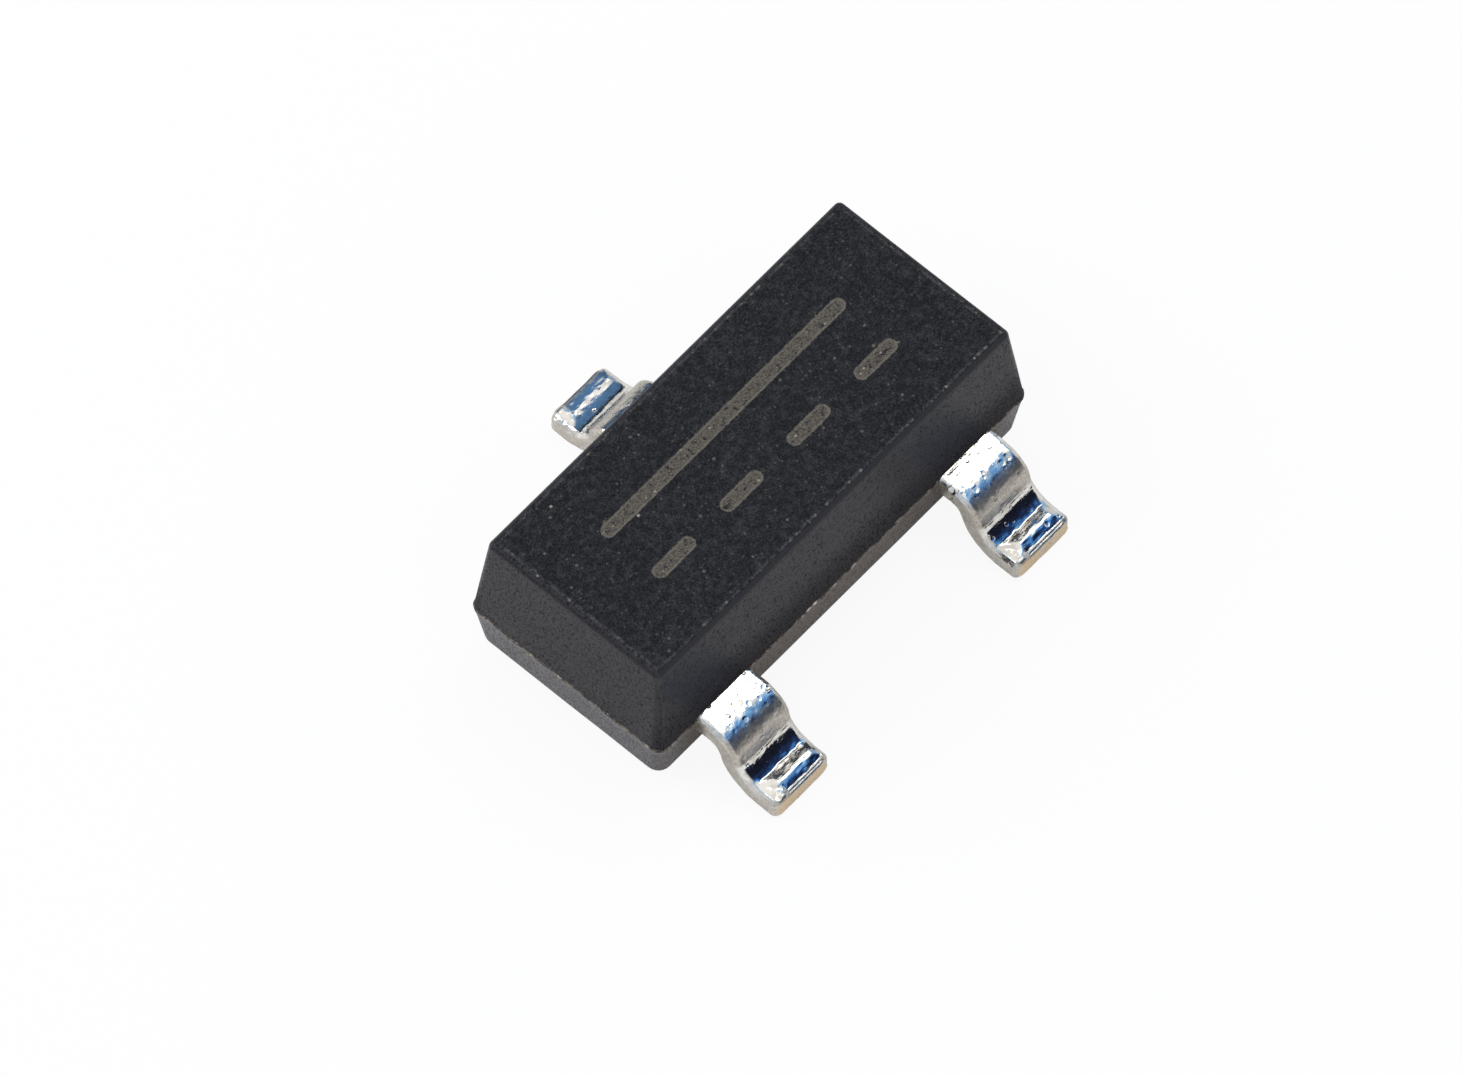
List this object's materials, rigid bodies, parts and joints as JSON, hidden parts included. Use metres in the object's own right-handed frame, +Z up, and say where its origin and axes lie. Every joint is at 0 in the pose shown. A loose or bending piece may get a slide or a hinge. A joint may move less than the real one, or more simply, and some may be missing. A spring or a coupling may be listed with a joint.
{
  "type": "surface-mount transistor",
  "caption": "Small-outline surface-mount transistor: a drafted black epoxy body moulded round a die, with gull-wing tin-plated leads on both long sides for soldering to a circuit board.",
  "frame": {"origin": "on the seating plane, under the middle of the body", "axes": "+X along the body's length from the gate side to the source side, +Y towards the single drain lead, +Z up from the board"},
  "size_m": [0.0028, 0.0024, 0.0011],
  "materials": {
    "moulding": "fine matte black epoxy moulding compound",
    "plated_lead": "bright tin plating",
    "die_adhesive": "silver-filled adhesive",
    "silicon": "polished silicon",
    "bond_wire": "bare gold wire"
  },
  "bodies": {
    "root": {"moulded_body": "moulding", "gate_lead": "plated_lead", "source_lead": "plated_lead", "drain_lead": "plated_lead", "die_attach": "die_adhesive", "silicon_die": "silicon", "gate_bond_wire": "bond_wire", "source_bond_wire": "bond_wire"}
  },
  "joints": []
}
